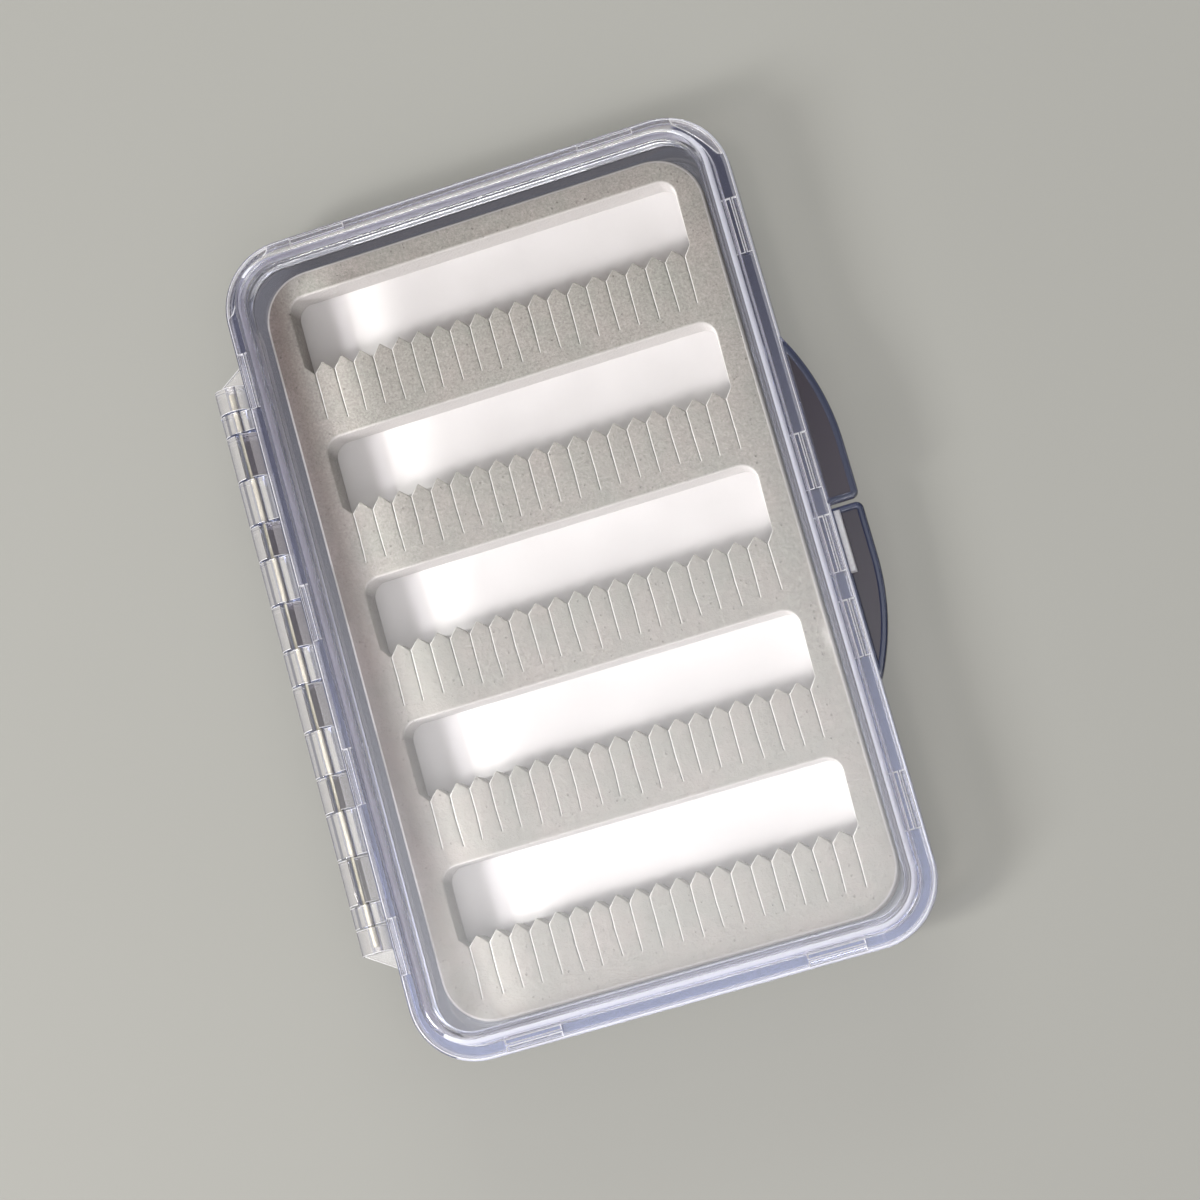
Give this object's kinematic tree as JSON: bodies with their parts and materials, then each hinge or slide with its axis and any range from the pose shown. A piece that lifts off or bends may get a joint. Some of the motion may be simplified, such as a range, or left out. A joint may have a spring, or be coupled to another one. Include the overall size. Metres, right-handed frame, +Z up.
{
  "type": "fly box",
  "caption": "Slim clear waterproof fly box with a raised-panel lid on a long knuckle hinge, a split D-shaped opening tab, a rim seal and a slit-foam insert.",
  "frame": {"origin": "middle of the base's underside, halfway between the rims on its long sides", "axes": "+X from the hinge to the opening tab, +Y along the box towards the far end, +Z up through the lid"},
  "size_m": [0.1056, 0.15, 0.018],
  "materials": {
    "clear_plastic": "gloss",
    "pin_steel": "satin",
    "clear_silicone": "satin",
    "grey_foam": "matte",
    "white_plastic": "gloss"
  },
  "bodies": {
    "base": {"base_shell": "clear_plastic", "hinge_pin": "pin_steel", "rim_seal": "clear_silicone", "foam_insert": "grey_foam", "white_sheet": "white_plastic"},
    "lid": {"lid_shell": "clear_plastic"}
  },
  "joints": [
    {"name": "lid_hinge", "type": "hinge", "parent": "base", "child": "lid", "pos_m": [-0.0503, 0, 0.01008], "axis": [0, -1, 0], "range_deg": [0, 180]}
  ]
}
